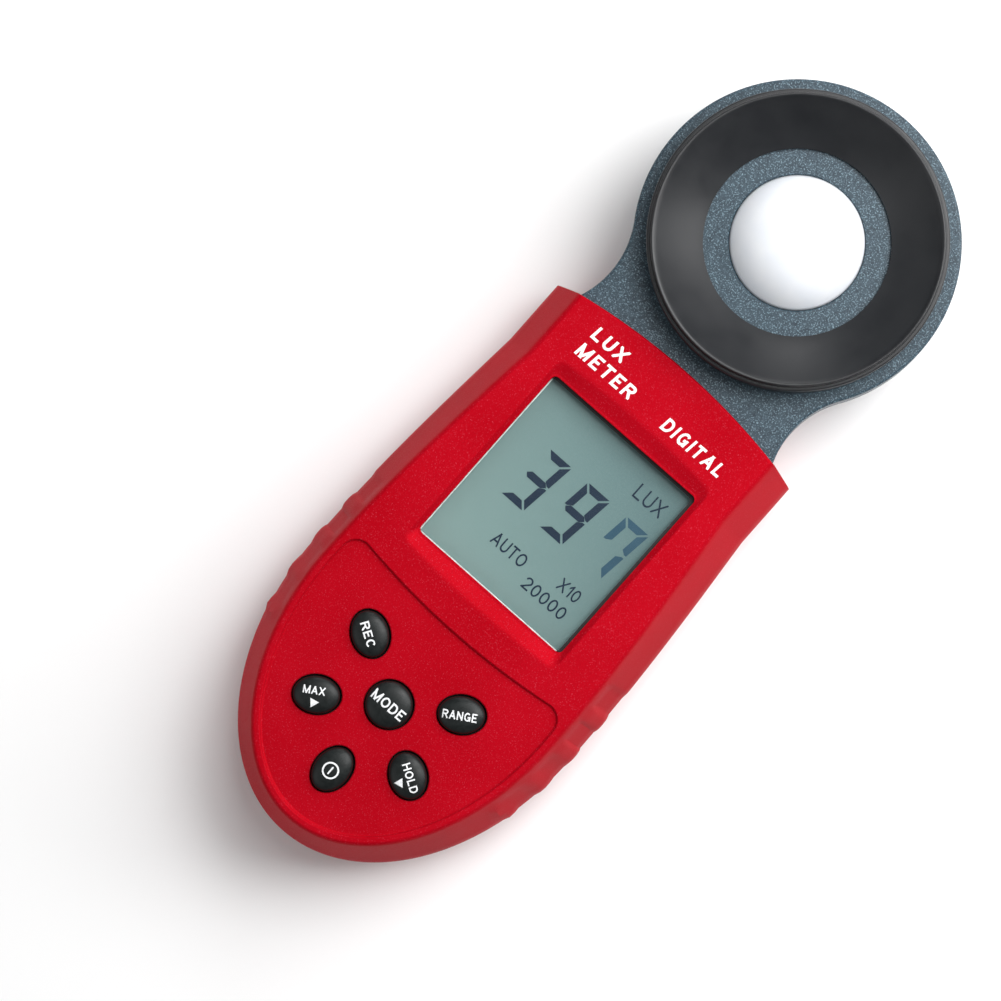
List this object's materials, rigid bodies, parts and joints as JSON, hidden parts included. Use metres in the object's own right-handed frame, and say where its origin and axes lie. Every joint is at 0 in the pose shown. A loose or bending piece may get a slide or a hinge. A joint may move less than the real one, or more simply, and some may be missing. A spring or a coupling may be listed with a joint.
{
  "type": "handheld light meter",
  "caption": "Handheld light meter: red two-part case with a display window and recessed keypad, and a fixed round grey head with a conical bezel and white diffuser dome.",
  "frame": {"origin": "middle of the meter's box in X and Y, on the surface it lies on, face up", "axes": "+X to the meter's right seen from the front, +Y from the keypad towards the sensor head, +Z out of the front face"},
  "size_m": [0.059, 0.1622, 0.0318],
  "materials": {
    "red_plastic": "fine spark texture, satin",
    "grey_plastic": "fine spark texture with a blue-grey sparkle",
    "black_plastic": "smooth satin",
    "white_diffuser": "translucent, smooth",
    "filter_glass": "polished",
    "chip_plastic": "moulded",
    "circuit_board": "solder mask",
    "clear_window": "polished",
    "gasket_rubber": "matte",
    "lcd_glass": "satin reflective display",
    "grey_rubber": "matte",
    "steel": "plated",
    "trimmer_plastic": "moulded",
    "key_rubber": "satin silicone with white printing",
    "cell_jacket": "printed foil",
    "red_wire": "satin",
    "black_wire": "satin"
  },
  "bodies": {
    "case": {"front_cover": "red_plastic", "rear_cover": "red_plastic", "head_front_plate": "grey_plastic", "head_rear_shell": "grey_plastic", "sensor_bezel": "black_plastic", "diffuser_dome": "white_diffuser", "photopic_filter": "filter_glass", "filter_holder": "black_plastic", "photodiode": "chip_plastic", "sensor_board": "circuit_board", "window_lens": "clear_window", "window_gasket": "gasket_rubber", "lcd_panel": "lcd_glass", "lcd_bracket": "black_plastic", "zebra_strip_upper": "grey_rubber", "zebra_strip_lower": "grey_rubber", "main_board": "circuit_board", "processor_chip": "chip_plastic", "crystal": "steel", "filter_capacitor": "chip_plastic", "calibration_trimmer": "trimmer_plastic", "keypad_mat": "grey_rubber", "battery_lead_red": "red_wire", "battery_lead_black": "black_wire", "sensor_lead": "black_wire", "battery_cell_1": "cell_jacket", "battery_spring_1": "steel", "contact_plus_1": "steel", "contact_minus_1": "steel", "head_screw_1": "steel", "sensor_board_screw_1": "steel", "battery_cell_2": "cell_jacket", "battery_spring_2": "steel", "contact_plus_2": "steel", "contact_minus_2": "steel", "head_screw_2": "steel", "sensor_board_screw_2": "steel", "battery_cell_3": "cell_jacket", "battery_spring_3": "steel", "contact_plus_3": "steel", "contact_minus_3": "steel", "head_screw_3": "steel", "sensor_board_screw_3": "steel", "board_screw_1": "steel", "board_screw_2": "steel", "case_screw_1": "steel", "case_screw_2": "steel", "case_screw_3": "steel", "case_screw_4": "steel"},
    "key_record_body": {"key_record": "key_rubber"},
    "key_range_body": {"key_range": "key_rubber"},
    "key_mode_body": {"key_mode": "key_rubber"},
    "key_max_body": {"key_max": "key_rubber"},
    "key_hold_body": {"key_hold": "key_rubber"},
    "key_power_body": {"key_power": "key_rubber"},
    "battery_door_body": {"battery_door": "red_plastic"}
  },
  "joints": [
    {"name": "key_record_press", "type": "slide", "parent": "case", "child": "key_record_body", "axis": [0, 0, -1], "range_m": [0, 0.001], "stiffness_N_per_m": 800},
    {"name": "key_range_press", "type": "slide", "parent": "case", "child": "key_range_body", "axis": [0, 0, -1], "range_m": [0, 0.001], "stiffness_N_per_m": 800},
    {"name": "key_mode_press", "type": "slide", "parent": "case", "child": "key_mode_body", "axis": [0, 0, -1], "range_m": [0, 0.001], "stiffness_N_per_m": 800},
    {"name": "key_max_press", "type": "slide", "parent": "case", "child": "key_max_body", "axis": [0, 0, -1], "range_m": [0, 0.001], "stiffness_N_per_m": 800},
    {"name": "key_hold_press", "type": "slide", "parent": "case", "child": "key_hold_body", "axis": [0, 0, -1], "range_m": [0, 0.001], "stiffness_N_per_m": 800},
    {"name": "key_power_press", "type": "slide", "parent": "case", "child": "key_power_body", "axis": [0, 0, -1], "range_m": [0, 0.001], "stiffness_N_per_m": 800},
    {"name": "battery_door_slide", "type": "slide", "parent": "case", "child": "battery_door_body", "axis": [0, -1, 0], "range_m": [0, 0.068]}
  ]
}
